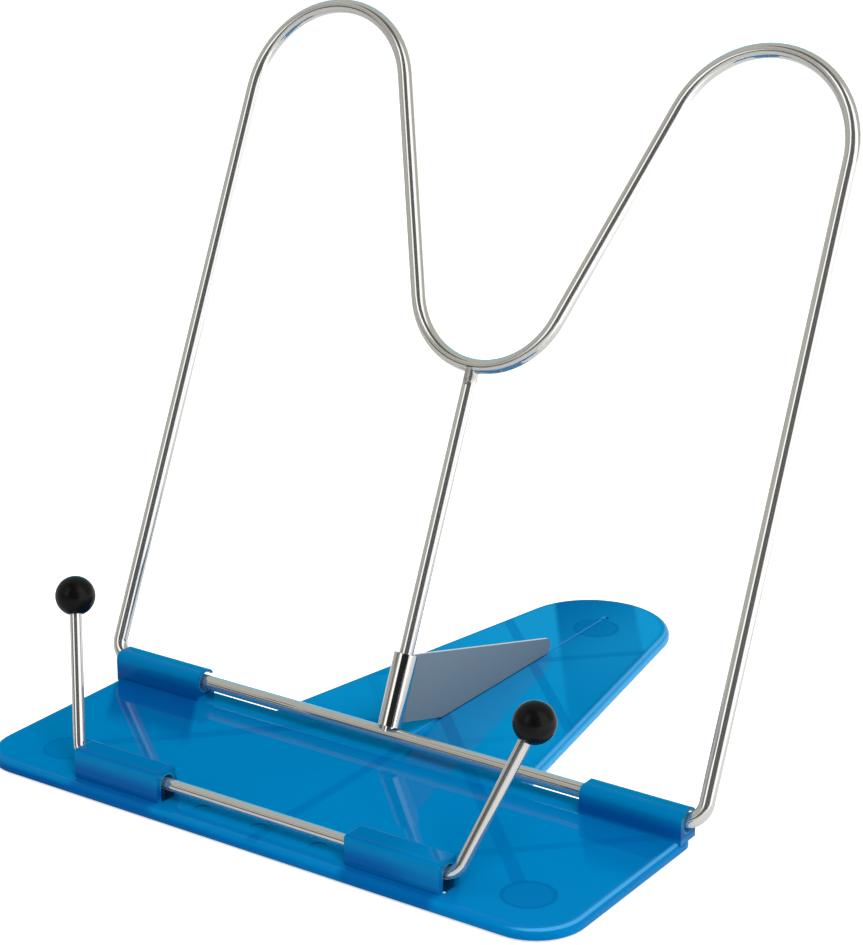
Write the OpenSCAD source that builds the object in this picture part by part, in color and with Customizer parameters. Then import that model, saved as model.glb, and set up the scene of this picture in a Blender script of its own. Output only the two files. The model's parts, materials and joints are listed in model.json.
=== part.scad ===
// Folding bookstand: a moulded base with a tail, a bent-wire back frame that
// hinges on it, a sheet fin that props the frame, and a wire page holder.

/* [Base] */
// Width of the base
base_w = 205.4; // [180:0.2:240]
// Distance from the back frame's hinge axis to the front edge
front_reach = 70.5; // [66:0.5:90]
// Distance from the hinge axis to the end of the tail
tail_reach = 142.8; // [120:0.2:170]
// Thickness of the base at its rim
base_t = 3.0; // [2.8:0.1:4]
// Depth of the pockets between the ribs of the underside
pocket_depth = 1.2; // [0.6:0.1:1.6]
// Radius of the front corners, seen from above
front_corner_r = 15.5; // [8:0.5:22]
// Radius of the rear corners, seen from above
rear_corner_r = 5; // [4:0.5:6]
// Rounding of the top edge
edge_r = 2.4; // [1:0.1:2.6]
// Distance from the hinge axis back to the rear edge of the base
rear_edge = 3.6; // [3.4:0.1:6]
// Width of the tail where it leaves the base
tail_root_w = 93.4; // [80:0.2:110]
// Radius of the round end of the tail
tail_end_r = 25.8; // [20:0.2:32]
// Width of the rim and of the ribs under the base
rib_w = 2.8; // [1.6:0.1:4]
// Width of the groove along the tail
groove_w = 1.3; // [0.8:0.1:2]
// Depth of the groove along the tail
groove_depth = 0.7; // [0.3:0.1:1]
// Distance from the hinge axis to the start of the groove
groove_start = 14; // [8:0.5:30]
// How far the groove passes the middle of the tail's round end
groove_past = 8.5; // [4:0.5:20]

/* [Hinge blocks] */
// Length of each rear hinge block
rear_block_len = 33; // [24:0.5:40]
// Height of the back frame's wire above the plate, to its centre
hinge_rise = 5; // [4.4:0.1:6]
// Wall of the rear blocks above the wire
rear_roof = 1.7; // [1.4:0.1:3]
// Wall of the rear blocks in front of the wire
rear_wall = 2.3; // [1.8:0.1:3.4]
// Length of each front block
front_block_len = 31.2; // [24:0.2:40]
// Distance between the two front blocks
front_block_gap = 66.4; // [40:0.2:80]
// Distance from the front edge of the base to the front blocks
front_block_inset = 4; // [3:0.1:8]
// Height of the page holder's wire above the plate, to its centre
holder_rise = 4.5; // [3.6:0.1:5.4]
// Wall of the front blocks above the wire
front_roof = 2.9; // [2:0.1:4]
// Wall of the front blocks in front of the wire
front_wall = 2.8; // [1.8:0.1:4]
// Wall of the front blocks behind the wire, at their top
front_back_wall = 1.8; // [1.6:0.1:4]
// How much deeper the front blocks are at the plate, behind
front_draft = 1.8; // [0:0.1:3]

/* [Back frame] */
// Diameter of the back frame's wire
frame_wire_d = 4.5; // [3.5:0.1:5]
// Lean of the back frame from upright, in degrees
frame_lean = 24; // [18:0.5:30]
// Gap between the side of the base and the frame's leg
leg_gap = 1.8; // [1:0.05:3]
// How far each outer leg leans inwards, in degrees
leg_splay = 0.4; // [0:0.1:2]
// Distance from the hinge axis to the centres of the top bends
top_centre_v = 188; // [160:0.2:220]
// Radius of the top bends, to the centre of the wire
top_bend_r = 29.2; // [24:0.2:34]
// Distance from the hinge axis to the centre of the valley bend
valley_centre_v = 139.2; // [110:0.2:150]
// Radius of the valley bend, to the centre of the wire
valley_bend_r = 26.4; // [18:0.2:30]
// How much slimmer the centre rod is than the wire that it is welded to
rod_slim = 0.2; // [0.1:0.05:0.8]
// Radius of the two bottom bends, to the centre of the wire
foot_bend_r = 6; // [5:0.1:7]

/* [Prop fin] */
// Thickness of the fin's sheet
sheet_t = 1.1; // [0.8:0.1:1.2]
// Play between the rolled eye and the centre rod, on the radius
eye_play = 0.4; // [0.1:0.05:0.6]
// Length of the rolled eye
eye_len = 22; // [16:0.5:28]
// How far the fin's tip stops short of the back of the frame's top, level
fin_short = 0.6; // [0:0.1:16]
// Height of the fin's tip above the tail
fin_tip_h = 5; // [3:0.1:8]
// Distance from the hinge axis to the knee of the fin's lower edge, level
fin_knee = 28; // [20:0.5:36]
// Radius of the tip's corners
fin_tip_r = 2; // [1:0.1:2.4]

/* [Page holder] */
// Diameter of the page holder's wire
holder_wire_d = 3.6; // [3:0.1:4]
// Gap between the end of a front block and the corner where the arm turns up
arm_gap = 0.5; // [0.4:0.05:2]
// Length of each arm seen from the side, up to the middle of its ball
arm_len = 45; // [36:0.2:50]
// Lean of the arms from upright, in degrees
arm_lean = 21.5; // [10:0.5:30]
// Outward splay of each arm, in degrees
arm_splay = 17.2; // [8:0.2:18]
// Radius of the arms' bends, to the centre of the wire
arm_bend_r = 5; // [4:0.1:6]
// Diameter of the balls on the arms
ball_d = 11.9; // [10:0.1:13]

/* [Feet] */
// Diameter of the round foot pads
foot_d = 15; // [10:0.5:16]
// Height of the foot pads below the base
foot_h = 0.6; // [0.4:0.1:1]
// Distance of the front feet from the side and from the front edge of the base
foot_inset = 21; // [16:0.2:28]
// Distance of the rear foot from the end of the tail
rear_foot_inset = 23.4; // [18:0.2:28]

/* [Hidden] */
$fn = 96;

// Clearance of a wire that turns in its bearing, on the radius
bearing_play = 0.05;
// Room round a wire in the wide mouths of a hinge block, on the radius
mouth_room = 0.95;
// How far a wide mouth reaches past the start of the bend inside it
mouth_past = 2;
// How much narrower than its wire a snap slot is
snap_bite = 0.6;
// Gap left under the fin and between parts that rest on each other
rest_gap = 0.3;
// How far a cut runs past the face that it opens
over = 0.5;

// How deep the hinge blocks are rooted in the plate
block_root = 0.8;
// Rounding of the top edges of the rear and front blocks, and of their ends
rear_round_r = 3;
front_round_r = 1.4;
block_end_r = 0.8;
// Play round a foot pad in its recess, on the radius
pad_play = 0.15;
// Small step where the round end of the tail's field meets its straight sides
field_step = 0.1;
// Round marks between the front blocks
mark_pitch = 20.6;
mark_d = 5;
mark_depth = 0.2;
// Width of the seam in the rolled eye
seam_w = 0.3;
// How far an arm's wire passes the middle of its ball
grip_past = 2;
// How much the ball is cut flat where the wire goes in
ball_flat = 0.5;
// Wire loses a hair of its radius where it is bent
bend_thin = 0.01;
// How far a straight run reaches into the bend beside it
bend_lap = 0.1;

frame_r = frame_wire_d / 2;
rod_r = (frame_wire_d - rod_slim) / 2;
holder_r = holder_wire_d / 2;
// The middle of the footprint is the origin, so the hinge lies in front of it
hinge_y = (front_reach - tail_reach) / 2;
half_w = base_w / 2;
base_z = foot_h;
// Hinge axis of the back frame, and half of the distance between its legs there
hinge_h = base_t + hinge_rise;
leg_x = half_w + leg_gap + frame_r;
rear_block_front = -frame_r - rear_wall;
rear_block_h = hinge_h + frame_r + rear_roof;
// Hinge axis of the page holder, and half of the distance between its corners
holder_h = base_t + holder_rise;
holder_y = front_reach - front_block_inset - front_wall - holder_r;
arm_x = front_block_gap / 2 + front_block_len + arm_gap + holder_r;
front_block_h = holder_h + holder_r + front_roof;
front_block_front = front_block_inset - front_reach;
front_block_rear = front_back_wall + holder_r - holder_y;
foot_x = half_w - foot_inset;
foot_front_y = front_reach - foot_inset;

module on_base() translate([0, hinge_y, base_z]) children();

// ---------- base ----------

tail_end_y = tail_reach - tail_end_r;
tail_root = [tail_root_w / 2, rear_edge];
// The tail's sides run from its root to where they touch the round end
tail_rise = tail_end_y - rear_edge;
tail_run = norm([tail_root.x, tail_rise]);
tail_taper = acos(tail_end_r / tail_run) - atan2(tail_rise, tail_root.x);
tail_side = sqrt(tail_run ^ 2 - tail_end_r ^ 2);

// Cross-section of the base from an inner point out to its rounded top edge
module edge_section(reach) {
    square([reach, base_t - edge_r]);
    square([reach - edge_r, base_t]);
    translate([reach - edge_r, base_t - edge_r])
        intersection() {
            circle(edge_r);
            square(edge_r);
        }
}

// Straight stretch of rounded edge that faces +X and runs along +Y
module edge_bar(reach, run)
    translate([0, run, 0]) rotate([90, 0, 0]) linear_extrude(run) edge_section(reach);

module corner(r, from)
    rotate([0, 0, from]) rotate_extrude(angle = 90) edge_section(r);

module plate() {
    corner_x = half_w - front_corner_r;
    corner_y = front_corner_r - front_reach;
    rear_x = half_w - rear_corner_r;
    rear_y = rear_edge - rear_corner_r;
    translate([corner_x, corner_y, 0]) corner(front_corner_r, 270);
    translate([-corner_x, corner_y, 0]) corner(front_corner_r, 180);
    translate([rear_x, rear_y, 0]) corner(rear_corner_r, 0);
    translate([-rear_x, rear_y, 0]) corner(rear_corner_r, 90);
    translate([-corner_x, corner_y, 0]) rotate([0, 0, -90])
        edge_bar(front_corner_r, 2 * corner_x);
    translate([corner_x, corner_y, 0]) edge_bar(front_corner_r, rear_y - corner_y);
    translate([-corner_x, rear_y, 0]) rotate([0, 0, 180])
        edge_bar(front_corner_r, rear_y - corner_y);
    translate([-corner_x, corner_y, 0]) cube([2 * corner_x, rear_y - corner_y, base_t]);
    translate([-rear_x, rear_y, 0]) cube([2 * rear_x, rear_corner_r, base_t]);
}

module tail() translate([0, tail_end_y, 0]) {
    rotate([0, 0, tail_taper])
        rotate_extrude(angle = 180 - 2 * tail_taper) edge_section(tail_end_r);
    cylinder(h = base_t, r = tail_end_r / 2);
    // Each side is wide enough to lap over the other in the middle
    for (side = [0, 1])
        mirror([side, 0, 0]) rotate([0, 0, tail_taper])
            translate([tail_end_r - tail_root.x, -tail_side, 0])
                edge_bar(tail_root.x, tail_side);
}

// Block with round top edges, standing on the plate from x = 0 to x = run, and
// deeper by draft at its rear foot
module hinge_block(run, front, rear, top, round_r, end_r, draft = 0) {
    depth = rear - front;
    foot = base_t - block_root;
    intersection() {
        translate([0, front, 0]) rotate([90, 0, 90]) linear_extrude(run) {
            translate([0, foot]) square([depth, top - round_r - foot]);
            if (draft > 0)
                polygon([[depth - round_r, foot], [depth + draft, foot],
                    [depth, top - round_r], [depth - round_r, top - round_r]]);
            translate([round_r, foot]) square([depth - 2 * round_r, top - foot]);
            for (y = [round_r, depth - round_r])
                translate([y, top - round_r]) circle(round_r);
        }
        translate([0, rear + draft + over, 0]) rotate([90, 0, 0])
            linear_extrude(depth + draft + 2 * over) {
            square([run, top - end_r]);
            translate([end_r, 0]) square([run - 2 * end_r, top]);
            for (x = [end_r, run - end_r])
                translate([x, top - end_r]) circle(end_r);
        }
    }
}

// Bore for a wire along a block: a close bearing with a wide mouth at each end
module wire_bore(run, wire_r, mouth) {
    rotate([0, 90, 0]) translate([0, 0, -over])
        cylinder(h = run + 2 * over, r = wire_r + bearing_play);
    for (x = [-over, run - mouth])
        translate([x, 0, 0]) rotate([0, 90, 0])
            cylinder(h = mouth + over, r = wire_r + mouth_room);
}

module rear_block()
    difference() {
        hinge_block(rear_block_len, rear_block_front, rear_edge, rear_block_h,
            rear_round_r, block_end_r);
        translate([0, 0, hinge_h]) {
            // The bottom bends dip into the outer mouths
            wire_bore(rear_block_len, frame_r, foot_run - leg_gap - frame_r + mouth_past);
            // The wire snaps in from behind
            translate([-over, 0, snap_bite / 2 - frame_r])
                cube([rear_block_len + 2 * over, rear_edge + over, frame_wire_d - snap_bite]);
        }
    }

// The page holder's wire snaps into the front blocks from below
module front_channel()
    translate([0, -holder_y, holder_h]) {
        mouth_len = arm_run - arm_gap - holder_r + mouth_past;
        wire_bore(front_block_len, holder_r, mouth_len);
        slot = holder_wire_d - snap_bite;
        translate([-over, -slot / 2, -holder_h - over])
            cube([front_block_len + 2 * over, slot, holder_h + over]);
        mouth = holder_wire_d + 2 * mouth_room;
        for (x = [-over, front_block_len - mouth_len])
            translate([x, -mouth / 2, -holder_h - over])
                cube([mouth_len + over, mouth, holder_h + over]);
    }

// A straight rib under the base between two points
module rib(from, to) {
    way = to - from;
    translate(from) rotate([0, 0, atan2(way.y, way.x)])
        translate([0, -rib_w / 2]) square([norm(way), rib_w]);
}

module ribs() {
    rib([0, -front_reach], [0, tail_reach]);
    cross_y = tail_end_y - tail_end_r - 2.5 * rib_w;
    for (side = [0, 1]) mirror([side, 0]) {
        // From each front foot to the rear rim, crossed by one from the rear corner
        rib([foot_x, -foot_front_y], [foot_x - foot_front_y - rear_edge, rear_edge]);
        rib([half_w, rear_edge], [half_w - front_reach - rear_edge, -front_reach]);
        // The tail's own cross, and a pair that spreads from its root
        rib([tail_root.x, cross_y - tail_root.x], [-tail_end_r, cross_y + tail_end_r]);
        rib([0, rear_edge], [tail_root.x, rear_edge + tail_root.x]);
    }
}

// Outline of a pocketed field under the plate, inside its rim
module plate_field() {
    r = front_corner_r - rib_w;
    x = half_w - front_corner_r;
    y = front_corner_r - front_reach;
    for (side = [-1, 1]) translate([side * x, y]) circle(r);
    translate([-x, rib_w - front_reach]) square([2 * x, rear_edge - 2 * rib_w + front_reach]);
    translate([-x - r, y]) square([2 * (x + r), rear_edge - rib_w - y]);
}

module tail_field() {
    inner_r = tail_end_r - rib_w;
    side = inner_r * [cos(tail_taper), sin(tail_taper)];
    start = rear_edge + rib_w / 2;
    root_x = side.x + (tail_end_y + side.y - start) * tan(tail_taper);
    translate([0, tail_end_y]) circle(inner_r - field_step);
    polygon([[-root_x, start], [root_x, start], [side.x, tail_end_y + side.y],
        [-side.x, tail_end_y + side.y]]);
}

feet = [[-foot_x, -foot_front_y], [foot_x, -foot_front_y], [0, tail_reach - rear_foot_inset]];

module pockets()
    difference() {
        union() {
            plate_field();
            tail_field();
        }
        ribs();
        for (foot = feet) translate(foot) circle(foot_d / 2 + rib_w / 2);
        for (side = [0, 1]) mirror([side, 0]) {
            // The plate stays solid under the hinge blocks
            translate([front_block_gap / 2 - rib_w, front_block_front - front_block_inset])
                square([front_block_len + 2 * rib_w,
                    front_block_inset + front_block_rear - front_block_front + front_draft + rib_w]);
            translate([half_w - rear_block_len - rib_w, rear_block_front - rib_w])
                square([rear_block_len + rib_w, rear_edge - rear_block_front + rib_w]);
        }
    }

module base() color([0.02, 0.48, 0.74]) on_base() {
    difference() {
        union() {
            plate();
            tail();
            for (side = [0, 1]) mirror([side, 0, 0])
                translate([front_block_gap / 2, 0, 0])
                    hinge_block(front_block_len, front_block_front, front_block_rear,
                        front_block_h, front_round_r, block_end_r, front_draft);
        }
        translate([0, 0, -over]) linear_extrude(pocket_depth + over) pockets();
        for (foot = feet) translate([foot.x, foot.y, -over])
            cylinder(h = pocket_depth + over, r = foot_d / 2 + pad_play);
        for (side = [0, 1]) mirror([side, 0, 0])
            translate([front_block_gap / 2, 0, 0]) front_channel();
        // Groove that the fin's lower edge stands over
        translate([-groove_w / 2, groove_start, base_t - groove_depth])
            cube([groove_w, tail_end_y + groove_past - groove_start, groove_depth + over]);
        for (y = [groove_start, tail_end_y + groove_past])
            translate([0, y, base_t - groove_depth]) cylinder(h = groove_depth + over, r = groove_w);
        // Three shallow round marks between the front blocks
        for (i = [-1:1]) translate([i * mark_pitch, -holder_y, base_t - mark_depth])
            cylinder(h = mark_depth + over, d = mark_d);
    }
    for (side = [0, 1]) mirror([side, 0, 0])
        translate([half_w - rear_block_len, 0, 0]) rear_block();
}

// Pad in its recess, with a rounded lower rim
module foot_pad(foot)
    color([0.10, 0.52, 0.74]) on_base() translate([foot.x, foot.y, pocket_depth])
        mirror([0, 0, 1]) rotate_extrude() {
            thick = pocket_depth + foot_h;
            square([foot_d / 2, thick - foot_h / 2]);
            square([foot_d / 2 - foot_h / 2, thick]);
            translate([foot_d / 2 - foot_h / 2, thick - foot_h / 2]) circle(foot_h / 2, $fn = 48);
        }

module foot_pad_left() foot_pad(feet[0]);
module foot_pad_right() foot_pad(feet[1]);
module foot_pad_rear() foot_pad(feet[2]);

// ---------- bent wire ----------

// A wire run from its start along +X: [length] runs straight, and [radius, angle]
// bends to the left, or to the right where the angle is negative
module bent_wire(r, steps, closed = false, i = 0)
    if (i < len(steps)) {
        step = steps[i];
        if (len(step) == 1) {
            before = closed || i > 0 ? bend_lap : 0;
            after = closed || i < len(steps) - 1 ? bend_lap : 0;
            translate([-before, 0, 0]) rotate([0, 90, 0])
                cylinder(h = before + step[0] + after, r = r);
            translate([step[0], 0, 0]) bent_wire(r, steps, closed, i + 1);
        } else {
            hand = sign(step[1]);
            translate([0, hand * step[0], 0]) {
                mirror([0, hand < 0 ? 1 : 0, 0]) rotate([0, 0, -90])
                    rotate_extrude(angle = abs(step[1]))
                        translate([step[0], 0]) circle(r - bend_thin);
                rotate([0, 0, step[1]]) translate([0, -hand * step[0], 0])
                    bent_wire(r, steps, closed, i + 1);
            }
        }
    }

// ---------- back frame ----------

// Drawing plane of the frame: X across, Y up its lean from the hinge axis
module in_frame() on_base() translate([0, 0, hinge_h]) rotate([90 - frame_lean, 0, 0]) children();

leg_top_x = leg_x - top_centre_v * tan(leg_splay);
top_centre_x = leg_top_x - top_bend_r / cos(leg_splay);
lobe = [top_centre_x, top_centre_v - valley_centre_v];
both_r = top_bend_r + valley_bend_r;
// The inner legs touch the top bend on one side and the valley bend on the other
inner_angle = atan2(lobe.y, lobe.x) + asin(both_r / norm(lobe));
inner_leg = sqrt(norm(lobe) ^ 2 - both_r ^ 2);
foot_turn = 90 + leg_splay;
foot_run = foot_bend_r * tan(foot_turn / 2);
outer_leg = (top_centre_v + top_bend_r * sin(leg_splay)) / cos(leg_splay) - foot_run;
valley_v = valley_centre_v - valley_bend_r;

// One closed loop: along the hinge axis, up the right leg and back down the left
module back_frame_wire() color([0.75, 0.75, 0.74]) in_frame() {
    half_rod = leg_x - foot_run;
    lobe_turn = 90 + inner_angle - leg_splay;
    translate([-half_rod, 0, 0]) bent_wire(frame_r, concat(
        [[2 * half_rod], [foot_bend_r, foot_turn], [outer_leg]],
        [[top_bend_r, lobe_turn], [inner_leg], [valley_bend_r, -2 * inner_angle],
         [inner_leg], [top_bend_r, lobe_turn]],
        [[outer_leg], [foot_bend_r, foot_turn]]), closed = true);
}

// Its ends are cut to saddle the bottom wire and the valley bend
module centre_rod() color([0.75, 0.75, 0.74]) in_frame()
    difference() {
        rotate([-90, 0, 0]) cylinder(h = valley_v, r = rod_r);
        translate([-frame_wire_d, 0, 0]) rotate([0, 90, 0])
            cylinder(h = 2 * frame_wire_d, r = frame_r);
        translate([0, valley_centre_v, 0]) rotate([0, 0, -120]) rotate_extrude(angle = 60)
            translate([valley_bend_r, 0]) circle(frame_r);
    }

// ---------- prop fin ----------

eye_in = rod_r + eye_play;
eye_out = eye_in + sheet_t;
eye_mid = eye_in + sheet_t / 2;
eye_foot = frame_r + rest_gap;
eye_top = eye_foot + eye_len;
// The fin's tip stands under the top of the frame
frame_top_back = (top_centre_v + top_bend_r) * sin(frame_lean) + frame_r;
fin_reach = frame_top_back - fin_short;

// A point given level, back from the hinge axis and up from the underside of the
// base, as distances out from the centre rod and along it
function from_rod(back, up) =
    let (rise = up - hinge_h)
    [back * cos(frame_lean) - rise * sin(frame_lean),
     back * sin(frame_lean) + rise * cos(frame_lean)];

// Corner at b between a and c as an arc of radius r
function arc_corner(a, b, c, r) =
    let (u = (a - b) / norm(a - b), w = (c - b) / norm(c - b),
         half = acos(u * w) / 2,
         centre = b + (u + w) / norm(u + w) * r / sin(half),
         from = b + u * r / tan(half) - centre,
         start = atan2(from.y, from.x),
         way = -sign(cross(u, w)),
         turn = 180 - 2 * half)
    [for (i = [0:8]) centre + r * [cos(start + way * turn * i / 8), sin(start + way * turn * i / 8)]];

module prop_fin() color([0.50, 0.54, 0.58]) in_frame() {
    lower = base_t + rest_gap;
    root_top = [eye_mid, eye_top];
    tip_top = from_rod(fin_reach, base_t + fin_tip_h);
    tip_foot = from_rod(fin_reach, lower);
    knee = from_rod(fin_knee, lower);
    root_foot = [eye_mid, eye_foot + sheet_t];
    rotate([-90, 0, 0]) translate([0, 0, eye_foot])
        difference() {
            cylinder(h = eye_len, r = eye_out);
            translate([0, 0, -over]) cylinder(h = eye_len + 2 * over, r = eye_in);
            // Seam where the rolled edge of the sheet comes back to the fin
            translate([sheet_t / 2, eye_in / 2, -over])
                cube([seam_w, eye_out + over - eye_in / 2, eye_len + 2 * over]);
        }
    rotate([0, 90, 0]) linear_extrude(sheet_t, center = true)
        polygon(concat([root_foot, root_top],
            arc_corner(root_top, tip_top, tip_foot, fin_tip_r),
            arc_corner(tip_top, tip_foot, knee, fin_tip_r),
            [knee]));
}

// ---------- page holder ----------

// Drawing plane of the holder: X along its wire, Y up the lean of its arms
module in_holder()
    on_base() translate([0, -holder_y, holder_h]) rotate([90 - arm_lean, 0, 0]) children();

ball_x = arm_x + arm_len * tan(arm_splay);
arm_turn = 90 - arm_splay;
arm_run = arm_bend_r * tan(arm_turn / 2);

module page_holder_wire() color([0.75, 0.75, 0.74]) in_holder() {
    arm = [arm_len / cos(arm_splay) - arm_run + grip_past];
    translate([-ball_x, arm_len, 0]) rotate([0, 0, arm_splay - 90])
        translate([-grip_past, 0, 0]) bent_wire(holder_r, [
            arm, [arm_bend_r, arm_turn], [2 * (arm_x - arm_run)],
            [arm_bend_r, arm_turn], arm]);
}

// Ball pressed on the end of an arm, with a small flat where the wire goes in
module ball(side) color([0.05, 0.05, 0.05]) in_holder()
    translate([side * ball_x, arm_len, 0]) rotate([-90, 0, -side * arm_splay])
        rotate_extrude() difference() {
            circle(ball_d / 2);
            translate([-ball_d, -ball_d]) square([ball_d, 2 * ball_d]);
            translate([-over, -ball_d]) square([holder_r + over, ball_d + grip_past]);
            translate([-over, -ball_d / 2 - over]) square([ball_d, over + ball_flat]);
        }

module ball_left() ball(-1);
module ball_right() ball(1);

base();
foot_pad_left();
foot_pad_right();
foot_pad_rear();
back_frame_wire();
centre_rod();
prop_fin();
page_holder_wire();
ball_left();
ball_right();
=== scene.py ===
import json
import math

import bpy
from mathutils import Matrix, Vector

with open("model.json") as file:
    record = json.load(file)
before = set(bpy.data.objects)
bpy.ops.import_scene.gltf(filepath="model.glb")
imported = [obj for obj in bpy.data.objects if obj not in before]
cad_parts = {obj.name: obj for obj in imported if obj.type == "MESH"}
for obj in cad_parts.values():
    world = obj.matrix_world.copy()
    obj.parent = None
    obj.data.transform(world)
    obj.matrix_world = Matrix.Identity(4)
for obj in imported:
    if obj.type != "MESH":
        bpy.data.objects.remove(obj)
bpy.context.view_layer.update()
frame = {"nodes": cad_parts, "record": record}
nodes = frame["nodes"]
record = frame["record"]
scene = bpy.context.scene

joints = {joint["name"]: joint for joint in record["behaviour"]["joints"]}
HINGE = Vector(joints["frame_fold"]["pos_m"])
HOLDER = Vector(joints["page_holder_tilt"]["pos_m"])
FEET = [(mount["pos_m"][0], mount["pos_m"][1] - HINGE.y) for mount in record["mounts"]]

# ---------------------------------------------------------------- camera

# The picture's size and centre and the focal length are in pixels, the angles in
# degrees, and the place in metres, its y from the hinge
IMAGE_W, IMAGE_H = 863, 945
CENTRE_X, CENTRE_Y = 434.9, 466.15
FOCAL_LENGTH = 2569.9
YAW, PITCH, ROLL = 34.749, 18.722, -0.28
CAMERA_X, CAMERA_Y, CAMERA_Z = 0.41085, -0.56678, 0.33005
SENSOR_MM = 36


def make_camera():
    yaw, pitch, roll = (math.radians(a) for a in (YAW, PITCH, ROLL))
    forward = Vector((-math.sin(yaw) * math.cos(pitch),
                      math.cos(yaw) * math.cos(pitch),
                      -math.sin(pitch)))
    right = Vector((math.cos(yaw), math.sin(yaw), 0))
    up = right.cross(forward)
    right, up = (math.cos(roll) * right + math.sin(roll) * up,
                 math.cos(roll) * up - math.sin(roll) * right)
    turn = Matrix((right, up, -forward)).transposed().to_4x4()
    data = bpy.data.cameras.new("camera")
    cam = bpy.data.objects.new("camera", data)
    scene.collection.objects.link(cam)
    cam.matrix_world = Matrix.Translation((CAMERA_X, HINGE.y + CAMERA_Y, CAMERA_Z)) @ turn
    data.sensor_width = SENSOR_MM
    data.lens = FOCAL_LENGTH * SENSOR_MM / IMAGE_H
    data.shift_x = (IMAGE_W / 2 - CENTRE_X) / IMAGE_H
    data.shift_y = (CENTRE_Y - IMAGE_H / 2) / IMAGE_H
    data.clip_start, data.clip_end = 0.05, 50
    data.dof.use_dof = False
    scene.camera = cam


make_camera()

# ---------------------------------------------------------------- node helpers


class Nodes:
    """Builds one node tree. Each method makes nodes and returns their output."""

    def __init__(self, tree):
        self.tree = tree
        tree.nodes.clear()

    def node(self, kind, **props):
        made = self.tree.nodes.new(kind)
        for name, value in props.items():
            setattr(made, name, value)
        return made

    def put(self, socket, value):
        """Link a socket to another's output, or give it a plain value."""
        if isinstance(value, bpy.types.NodeSocket):
            self.tree.links.new(value, socket)
        else:
            if socket.type == "RGBA" and len(value) == 3:
                value = (*value, 1)
            socket.default_value = value

    def math(self, op, a, b=0.0):
        made = self.node("ShaderNodeMath", operation=op)
        self.put(made.inputs[0], a)
        self.put(made.inputs[1], b)
        return made.outputs[0]

    def plus(self, a, b):
        return self.math("ADD", a, b)

    def minus(self, a, b):
        return self.math("SUBTRACT", a, b)

    def abs(self, a):
        return self.math("ABSOLUTE", a)

    def times(self, *values):
        product = values[0]
        for value in values[1:]:
            product = self.math("MULTIPLY", product, value)
        return product

    def most(self, *values):
        best = values[0]
        for value in values[1:]:
            best = self.math("MAXIMUM", best, value)
        return best

    def away(self, a, b):
        """Distance of (a, b) from nought."""
        return self.math("SQRT", self.plus(self.times(a, a), self.times(b, b)))

    def ramp(self, x, lo, hi, out_lo=0.0, out_hi=1.0):
        """x from lo to hi, smoothly, as out_lo to out_hi."""
        made = self.node("ShaderNodeMapRange", interpolation_type="SMOOTHSTEP")
        for i, value in enumerate((x, lo, hi, out_lo, out_hi)):
            self.put(made.inputs[i], value)
        return made.outputs[0]

    def band(self, x, lo, hi, soft):
        """1 where x lies between lo and hi, fading out over soft on either side."""
        return self.times(self.ramp(x, lo - soft, lo + soft),
                          self.ramp(x, hi - soft, hi + soft, 1, 0))

    def stripe(self, x, middle, half, soft=0.0006):
        return self.band(x, middle - half, middle + half, soft)

    def mix(self, factor, a, b):
        made = self.node("ShaderNodeMix", data_type="RGBA")
        self.put(made.inputs[0], factor)
        self.put(made.inputs[6], a)
        self.put(made.inputs[7], b)
        return made.outputs[2]

    def paint(self, under, colour, *masks):
        """colour over what lies under it, by the product of the masks."""
        return self.mix(self.times(*masks), under, colour)

    def noise(self, vector, scale, detail=2.0, rough=0.5):
        made = self.node("ShaderNodeTexNoise")
        self.put(made.inputs["Vector"], vector)
        made.inputs["Scale"].default_value = scale
        made.inputs["Detail"].default_value = detail
        made.inputs["Roughness"].default_value = rough
        return made.outputs["Fac"]

    def bump(self, height, strength, distance):
        made = self.node("ShaderNodeBump")
        self.put(made.inputs["Height"], height)
        made.inputs["Strength"].default_value = strength
        made.inputs["Distance"].default_value = distance
        return made.outputs[0]

    def place(self):
        """The point on the object, in metres from the middle of its footprint."""
        return self.node("ShaderNodeTexCoord").outputs["Object"]

    def normal(self):
        return self.node("ShaderNodeNewGeometry").outputs["Normal"]

    def xyz(self, vector):
        made = self.node("ShaderNodeSeparateXYZ")
        self.put(made.inputs[0], vector)
        return made.outputs


def material(name, build):
    made = bpy.data.materials.new(name)
    made.use_nodes = True
    n = Nodes(made.node_tree)
    shader = n.node("ShaderNodeBsdfPrincipled")
    out = n.node("ShaderNodeOutputMaterial")
    n.tree.links.new(shader.outputs[0], out.inputs[0])
    build(n, shader.inputs)
    return made


def dress(surface, *node_names):
    for node_name in node_names:
        slots = nodes[node_name].data.materials
        slots.clear()
        slots.append(surface)


# ---------------------------------------------------------------- base

# Metres on the base: x from its middle, y from the hinge axis, z from its underside
FOOT_RISE = 0.0006
BASE_T = 0.003
HALF_W = 0.1027
REAR_EDGE = 0.0036
TAIL_END_Y, TAIL_END_R, TAIL_TAPER = 0.117, 0.0258, math.radians(10.24)
FOOT_DISC_R, FOOT_RING_R = 0.0068, 0.0078
REAR_BLOCK_FRONT, REAR_BLOCK_INNER = -0.0046, 0.0700
FRONT_BLOCK_H = 0.0122
# The painted shade on the ledge: its ends in x, and where it fades in y
LEDGE_X = 0.0338, 0.0640
LEDGE_Y = -0.0662, -0.0640

# How far what lies under the plastic seems shifted where it shines through
SHIFT_X, SHIFT_Y = 0.0021, -0.0032

# Middle lines of the ribs: |x| + y, y - |x|, x + y, y - x and x on them
FOOT_RIB = 0.0298
CORNER_RIB = -0.0998
CROSS_RISING, CROSS_FALLING = 0.0799, 0.0814
MIDDLE_RIB = 0.0028

# The plate's top: painted light makes it lighter to the right; the tail is lighter still
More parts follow.
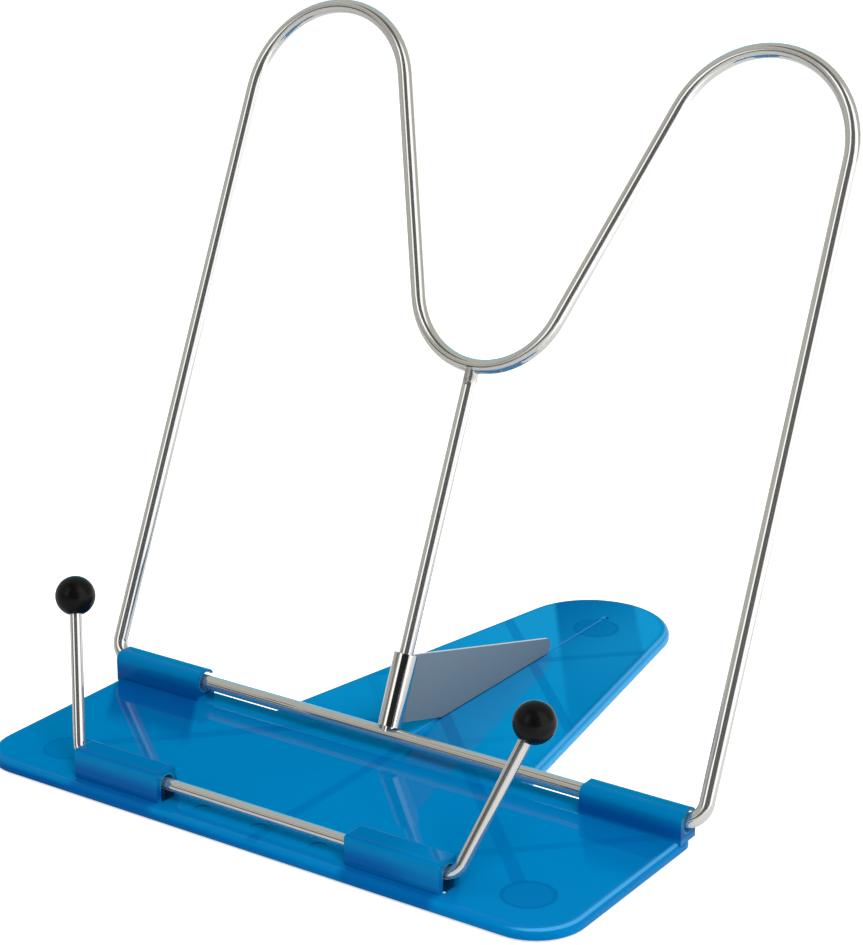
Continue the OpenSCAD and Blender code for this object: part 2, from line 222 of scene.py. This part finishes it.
PLATE_SHADED_LEFT, PLATE_LIT_RIGHT = (0.0, 0.144, 0.368), (0.0, 0.164, 0.418)
TAIL_ROOT, TAIL_END = (0.002, 0.216, 0.485), (0.010, 0.262, 0.540)
CLOUD = (0.0, 0.220, 0.520)
RIB = (0.0, 0.085, 0.300)
FOOT_DISC, FOOT_RING = (0.0, 0.110, 0.320), (0.0, 0.070, 0.270)
TAIL_EDGE = (0.0, 0.170, 0.440)
# Painted shade and light on the rims and the blocks' walls: darker, lighter where they face
# right or back, and lighter towards the walls' tops
SHADED_RIM_LEFT, SHADED_RIM_RIGHT = (0.0, 0.062, 0.240), (0.0, 0.145, 0.385)
LIT_RIM_BEHIND, LIT_TAIL_RIM = (0.0, 0.185, 0.480), (0.040, 0.400, 0.800)
SHADED_FRONT_BLOCK_WALL, SHADED_REAR_BLOCK_WALL = (0.0, 0.084, 0.310), (0.0, 0.080, 0.300)
LIT_WALL_TOP = (0.0, 0.165, 0.385)
FRONT_ROOF, REAR_ROOF = (0.0, 0.112, 0.310), (0.0, 0.150, 0.355)
# Painted shade on the ledge before the front blocks
LEDGE_SHADE = (0.0, 0.080, 0.280)
# Painted reflection of the rear blocks on the plate before them
REAR_BLOCK_REFLECTION = (0.0, 0.060, 0.245)
# Painted light on the right end of the right front block
LIT_RIGHT_END = (0.0, 0.185, 0.430)
LIT_EDGE = (0.10, 0.46, 0.80)
LIT_BORE = (0.02, 0.34, 0.62)
SHEEN = (0.0, 0.45, 1.0, 1)


def under_the_plate(n, x, y):
    """(ribs, foot pads, the rings round them), each 1 where it shines through the plastic."""
    ux, uy = n.minus(x, SHIFT_X), n.minus(y, SHIFT_Y)
    mirrored = n.abs(x)
    on_tail = n.minus(1.0, n.ramp(y, 0.0016, 0.0026, 1, 0))
    to_foot = n.times(n.stripe(n.plus(mirrored, y), FOOT_RIB, 0.0030),
                      n.ramp(uy, -0.0490, -0.0470))
    to_corner = n.times(n.stripe(n.minus(y, mirrored), CORNER_RIB, 0.0026, 0.0012),
                        n.ramp(y, -0.062, -0.054))
    rising = n.stripe(n.plus(x, y), CROSS_RISING, 0.0025)
    falling = n.stripe(n.minus(y, x), CROSS_FALLING, 0.0025)
    spread = n.stripe(n.minus(y, n.abs(ux)), REAR_EDGE, 0.0028)
    tail_ribs = n.most(rising, n.times(falling, 0.8), n.times(spread, 0.3))
    middle = n.times(n.stripe(x, MIDDLE_RIB, 0.0018, 0.0008), n.ramp(y, 0.012, 0.020, 1, 0))
    ribs = n.most(to_foot, n.times(to_corner, 0.7), n.times(tail_ribs, on_tail), middle)
    radii = [n.away(n.minus(ux, fx), n.minus(uy, fy)) for fx, fy in FEET]
    disc = n.most(*(n.ramp(r, FOOT_DISC_R, FOOT_RING_R, 1, 0) for r in radii))
    ring = n.most(*(n.band(r, FOOT_DISC_R, FOOT_RING_R, 0.0005) for r in radii))
    return n.times(ribs, n.minus(1.0, disc)), disc, ring


def in_from_tail_rim(n, x, y):
    mirrored = n.abs(x)
    back = n.minus(y, TAIL_END_Y)
    cos, sin = math.cos(TAIL_TAPER), math.sin(TAIL_TAPER)
    out = n.plus(n.times(mirrored, cos), n.times(back, sin))
    on = n.minus(n.times(back, cos), n.times(mirrored, sin))
    return n.minus(TAIL_END_R, n.away(out, n.most(on, 0.0)))


def top_colour(n, place, x, y):
    """A little lighter to the plate's right, as painted light, and lighter still along the
    tail.
    """
    colour = n.mix(n.ramp(n.minus(x, n.times(y, 0.35)), -0.110, 0.120), PLATE_SHADED_LEFT, PLATE_LIT_RIGHT)
    colour = n.paint(colour, TAIL_ROOT, n.ramp(y, -0.004, 0.030))
    colour = n.paint(colour, TAIL_END, n.ramp(y, 0.050, 0.110, 0, 0.7))
    cloud = n.ramp(n.noise(place, 26, 3, 0.55), 0.3, 0.7)
    return n.paint(colour, CLOUD, cloud, 0.10)


def base_plastic(n, s):
    place = n.place()
    x, y, z = n.xyz(place)
    y = n.minus(y, HINGE.y)
    z = n.minus(z, FOOT_RISE)
    nx, ny, nz = n.xyz(n.normal())
    flat = n.times(n.ramp(z, BASE_T + 0.0002, BASE_T + 0.0012, 1, 0), n.ramp(nz, 0.6, 0.95))
    over_plate = n.ramp(z, BASE_T + 0.0002, BASE_T + 0.0014)
    on_rear_block = n.ramp(y, -0.040, -0.030)

    colour = top_colour(n, place, x, y)
    ribs, disc, ring = under_the_plate(n, x, y)
    colour = n.paint(colour, RIB, ribs, flat, 0.42)
    colour = n.paint(colour, FOOT_DISC, disc, flat, 0.50)
    colour = n.paint(colour, FOOT_RING, ring, flat, 0.50)
    tail_edge = n.times(n.ramp(in_from_tail_rim(n, x, y), 0.0024, 0.0034, 1, 0),
                        n.ramp(y, 0.012, 0.020))
    colour = n.paint(colour, TAIL_EDGE, tail_edge, flat, 0.55)

    # Partly the thicker plastic seen through, partly painted shade and light by facing: the
    # rims and the blocks' walls are darker, the front rims most on the left, the rims facing
    # back and the tail's right rim lighter, and the walls' upper parts lighter
    rim_shading = n.mix(n.ramp(x, -0.100, 0.090), SHADED_RIM_LEFT, SHADED_RIM_RIGHT)
    rim_shading = n.mix(n.ramp(ny, -0.85, -0.35, 1, 0), LIT_RIM_BEHIND, rim_shading)
    rim_shading = n.paint(rim_shading, LIT_TAIL_RIM, n.ramp(y, 0.000, 0.010), n.ramp(nx, 0.0, 0.5))
    wall_shading = n.mix(on_rear_block, SHADED_FRONT_BLOCK_WALL, SHADED_REAR_BLOCK_WALL)
    wall_shading = n.paint(wall_shading, LIT_WALL_TOP, n.ramp(z, FRONT_BLOCK_H - 0.0065, FRONT_BLOCK_H - 0.0020))
    side = n.ramp(nz, 0.15, 0.85, 1, 0)
    colour = n.paint(colour, n.mix(over_plate, rim_shading, wall_shading), side)
    roof = n.mix(on_rear_block, FRONT_ROOF, REAR_ROOF)
    high = n.ramp(z, BASE_T + 0.0045, BASE_T + 0.0075)
    colour = n.paint(colour, roof, high, n.ramp(nz, 0.2, 0.8), 0.95)

    # The front blocks show dark through the ledge before them, and painted shade darkens it
    # further
    ledge_shade = n.times(n.band(n.abs(x), *LEDGE_X, 0.0020), n.ramp(y, *LEDGE_Y, 1, 0),
                    n.ramp(z, BASE_T + 0.0008, BASE_T + 0.0003, 0, 1))
    colour = n.paint(colour, LEDGE_SHADE, ledge_shade, 0.85)

    # Painted reflection: the rear blocks' mirror image is painted as a dark patch on the plate
    # before them, slanted as the camera sees them (0.69), the left one darker
    ahead = n.minus(REAR_BLOCK_FRONT, y)
    slid = n.minus(x, n.times(ahead, 0.69))
    before = n.times(n.band(n.abs(slid), REAR_BLOCK_INNER, HALF_W, 0.0015),
                     n.ramp(ahead, 0.016, 0.030, 1, 0), n.ramp(x, -0.02, 0.02, 0.85, 0.35))
    colour = n.paint(colour, REAR_BLOCK_REFLECTION, before, flat)

    # Painted light: the right end of the right front block is lighter
    lit_right_end = n.times(over_plate, n.ramp(y, -0.052, -0.056, 0, 1), n.ramp(x, 0.042, 0.062))
    colour = n.paint(colour, LIT_RIGHT_END, lit_right_end, 0.55)

    # The right rims catch the light along their upper edge
    lit = n.times(n.band(nz, 0.72, 0.95, 0.06),
                  n.ramp(n.plus(nx, n.times(ny, -0.25)), 0.15, 0.40),
                  n.ramp(z, BASE_T + 0.0005, BASE_T, 0, 1))
    colour = n.paint(colour, LIT_EDGE, lit, 0.50)

    # Light gathers in the bores and round the ends of the wires
    from_front_bore = n.away(n.minus(y, HOLDER.y - HINGE.y), n.minus(z, HOLDER.z - FOOT_RISE))
    from_rear_bore = n.away(y, n.minus(z, HINGE.z - FOOT_RISE))
    bore = n.most(n.ramp(from_front_bore, 0.0026, 0.0034, 1, 0),
                  n.ramp(from_rear_bore, 0.0030, 0.0038, 1, 0))
    colour = n.paint(colour, LIT_BORE, bore, 0.85)

    n.put(s["Base Color"], colour)
    n.put(s["Roughness"], n.ramp(n.noise(place, 90, 2), 0.2, 0.8, 0.03, 0.06))
    s["IOR"].default_value = 1.5
    s["Specular IOR Level"].default_value = 0.2
    s["Specular Tint"].default_value = SHEEN
    n.put(s["Normal"], n.bump(n.noise(place, 120, 2), 0.015, 0.0006))


def foot_rubber(n, s):
    place = n.place()
    grain = n.noise(place, 2200, 2, 0.6)
    n.put(s["Base Color"], n.mix(grain, (0.010, 0.110, 0.260), (0.015, 0.150, 0.330)))
    n.put(s["Roughness"], n.ramp(grain, 0.2, 0.8, 0.55, 0.75))
    n.put(s["Normal"], n.bump(grain, 0.25, 0.0002))


# ---------------------------------------------------------------- wires, fin and balls

LEAN = math.radians(24)
# Distance from the hinge axis along the centre rod to its upper weld
WELD_UP = 0.1096
WIRE_DULL, WIRE_BRIGHT = (0.73, 0.725, 0.71), (0.77, 0.765, 0.75)
WELD_TINT = (0.25, 0.24, 0.23)
SHEET_DARK, SHEET_LIGHT = (0.172, 0.228, 0.275), (0.190, 0.248, 0.298)
EYE_COLOUR = (0.76, 0.75, 0.74)
CUT_EDGE = (0.62, 0.63, 0.64)


def from_rod(n, place):
    """(x, distance behind the centre rod's axis, distance along it)"""
    x, y, z = n.xyz(place)
    back, up = n.minus(y, HINGE.y), n.minus(z, HINGE.z)
    cos, sin = math.cos(LEAN), math.sin(LEAN)
    across = n.minus(n.times(back, cos), n.times(up, sin))
    along = n.plus(n.times(back, sin), n.times(up, cos))
    return x, across, along


def plated_wire(n, s):
    place = n.place()
    haze = n.noise(place, 140, 3, 0.6)
    x, across, along = from_rod(n, place)
    weld = n.times(n.ramp(n.away(x, n.minus(along, WELD_UP)), 0.0016, 0.0030, 1, 0),
                   n.ramp(n.abs(across), 0.004, 0.006, 1, 0))
    colour = n.mix(haze, WIRE_DULL, WIRE_BRIGHT)
    n.put(s["Base Color"], n.paint(colour, WELD_TINT, weld, 0.5))
    s["Metallic"].default_value = 0.9
    n.put(s["Roughness"], n.plus(n.ramp(haze, 0.25, 0.75, 0.04, 0.09), n.times(weld, 0.10)))
    waves = n.times(n.noise(place, 500, 2), 0.05)
    beads = n.times(weld, n.noise(place, 900, 3, 0.7), 2.0)
    n.put(s["Normal"], n.bump(n.plus(waves, beads), 0.35, 0.0004))


def fin_sheet(n, s):
    place = n.place()
    stretched = n.node("ShaderNodeCombineXYZ")
    for i, (value, scale) in enumerate(zip(n.xyz(place), (60.0, 160.0, 1600.0))):
        n.put(stretched.inputs[i], n.times(value, scale))
    grain = n.noise(stretched.outputs[0], 1.0, 4, 0.6)
    x, across, _ = from_rod(n, place)
    eye = n.ramp(n.away(x, across), 0.0040, 0.0046, 1, 0)
    nx = n.xyz(n.normal())[0]
    cut = n.times(n.ramp(n.abs(nx), 0.3, 0.7, 1, 0), n.minus(1.0, eye))
    colour = n.mix(eye, n.mix(grain, SHEET_DARK, SHEET_LIGHT), EYE_COLOUR)
    n.put(s["Base Color"], n.mix(cut, colour, CUT_EDGE))
    n.put(s["Metallic"], n.most(eye, 0.12))
    n.put(s["Roughness"], n.mix(eye, n.ramp(grain, 0.2, 0.8, 0.48, 0.56), (0.07, 0.07, 0.07)))
    n.put(s["Normal"], n.bump(grain, 0.05, 0.0002))


def ball_plastic(n, s):
    place = n.place()
    grain = n.noise(place, 900, 3, 0.6)
    n.put(s["Base Color"], n.mix(grain, (0.002, 0.002, 0.002), (0.004, 0.004, 0.004)))
    n.put(s["Roughness"], n.ramp(grain, 0.2, 0.8, 0.24, 0.32))
    s["Specular IOR Level"].default_value = 0.16
    n.put(s["Normal"], n.bump(grain, 0.10, 0.0002))


dress(material("base_plastic", base_plastic), "base")
dress(material("foot_rubber", foot_rubber), "foot_pad_left", "foot_pad_right", "foot_pad_rear")
dress(material("plated_wire", plated_wire), "back_frame_wire", "centre_rod", "page_holder_wire")
dress(material("fin_sheet", fin_sheet), "prop_fin")
dress(material("ball_plastic", ball_plastic), "ball_left", "ball_right")

# ---------------------------------------------------------------- stage

FLOOR_HALF = 12
FLOOR_DROP = 0.0002
FLOOR_GLOW = 0.62
WHITE, GREY, BLACK = (1, 1, 1), (0.62, 0.62, 0.62), (0.02, 0.02, 0.02)
FLOOR_LIGHT, FLOOR_DULL = (0.86, 0.86, 0.86), (0.50, 0.50, 0.48)
ROOM = (0.47, 0.455, 0.40)
PANEL = (1.4, 1.4, 1.4)
BEHIND = (0.0, 0.62, 0.90)
# The camera's side of the room, from +X
FRONT = math.radians(-55.3)
LAMP_AIM = (0, 0, 0.05)


def floor_material():
    made = bpy.data.materials.new("studio_floor")
    made.use_nodes = True
    n = Nodes(made.node_tree)
    out = n.node("ShaderNodeOutputMaterial")
    diffuse = n.node("ShaderNodeBsdfDiffuse")
    glow = n.node("ShaderNodeEmission")
    rays = n.node("ShaderNodeLightPath").outputs
    # Metal mirrors it light on the right of the stand and dark on the left, and painted shade
    # makes it darker close by the stand
    x, y, _ = n.xyz(n.place())
    left = n.ramp(n.plus(n.times(x, -0.57), n.times(y, -0.82)), -0.05, 0.14)
    stand_shade_factor = n.ramp(n.away(x, y), 0.14, 0.45, 0.15, 1.0)
    mirrored = n.times(rays["Is Glossy Ray"], n.ramp(left, 0.0, 1.0, 0.52, 0.05), stand_shade_factor)
    seen = n.times(n.most(rays["Is Camera Ray"], rays["Is Transmission Ray"]), FLOOR_GLOW)
    n.put(glow.inputs["Strength"], n.plus(seen, mirrored))
    dull = n.times(rays["Is Glossy Ray"], n.most(left, n.ramp(stand_shade_factor, 0.2, 1.0, 0.6, 0.0)))
    n.put(diffuse.inputs["Color"], n.mix(dull, FLOOR_LIGHT, FLOOR_DULL))
    both = n.node("ShaderNodeAddShader")
    n.tree.links.new(diffuse.outputs[0], both.inputs[0])
    n.tree.links.new(glow.outputs[0], both.inputs[1])
    n.tree.links.new(both.outputs[0], out.inputs[0])
    return made


def make_floor():
    h = FLOOR_HALF
    mesh = bpy.data.meshes.new("studio_floor")
    mesh.from_pydata([(-h, -h, 0), (h, -h, 0), (h, h, 0), (-h, h, 0)], [], [(0, 1, 2, 3)])
    floor = bpy.data.objects.new("studio_floor", mesh)
    mesh.materials.append(floor_material())
    scene.collection.objects.link(floor)
    floor.location.z = -FLOOR_DROP


def make_world():
    world = bpy.data.worlds.new("studio")
    scene.world = world
    world.use_nodes = True
    n = Nodes(world.node_tree)
    out = n.node("ShaderNodeOutputWorld")
    back = n.node("ShaderNodeBackground")
    n.tree.links.new(back.outputs[0], out.inputs[0])
    rays = n.node("ShaderNodeLightPath").outputs
    x, y, z = n.xyz(n.node("ShaderNodeTexCoord").outputs["Generated"])
    # Degrees round from the camera's side, growing to the picture's right, and degrees up
    toward = n.plus(n.times(x, math.cos(FRONT)), n.times(y, math.sin(FRONT)))
    beside = n.minus(n.times(y, math.cos(FRONT)), n.times(x, math.sin(FRONT)))
    turn = n.times(n.math("ARCTAN2", beside, toward), 180 / math.pi)
    rise = n.times(n.math("ARCSINE", z), 180 / math.pi)
    # Metal mirrors dull walls, two white panels and the dark room between them
    panels = n.times(n.most(n.band(turn, -60, -38, 4), n.band(turn, 33, 80, 4)),
                     n.band(rise, -6, 72, 5))
    dark = n.times(n.band(turn, -38, 28, 4), n.band(rise, 0, 60, 4))
    line = n.times(n.band(turn, -84, -36, 6), n.band(rise, 1, 15, 3))
    shelf = n.times(n.band(turn, -95, -62, 6), n.band(rise, 27, 36, 3))
    ceiling = n.times(n.band(turn, -110, 34, 8), n.ramp(rise, 52, 60))
    behind = n.times(n.band(n.abs(turn), 156, 204, 10), n.band(rise, 8, 32, 5))
    mirrored = n.mix(panels, ROOM, PANEL)
    mirrored = n.paint(mirrored, BLACK, shelf, 0.35)
    mirrored = n.paint(mirrored, BLACK, n.most(dark, line, ceiling))
    mirrored = n.paint(mirrored, BEHIND, behind)
    colour = n.mix(rays["Is Glossy Ray"], GREY, mirrored)
    seen = n.most(rays["Is Camera Ray"], rays["Is Transmission Ray"])
    n.put(back.inputs["Color"], n.mix(seen, colour, WHITE))


def make_lamp(name, place, size, power):
    data = bpy.data.lights.new(name, "AREA")
    data.shape = "DISK"
    data.size = size
    data.energy = power
    lamp = bpy.data.objects.new(name, data)
    scene.collection.objects.link(lamp)
    lamp.location = place
    lamp.rotation_mode = "QUATERNION"
    lamp.rotation_quaternion = (Vector(LAMP_AIM) - Vector(place)).to_track_quat("-Z", "Y")
    lamp.visible_glossy = False


make_floor()
make_world()
make_lamp("key_lamp", (0.9, -0.6, 1.4), size=0.9, power=20)
make_lamp("fill_lamp", (-1.0, -0.9, 1.2), size=1.6, power=4)

scene.view_settings.view_transform = "Standard"
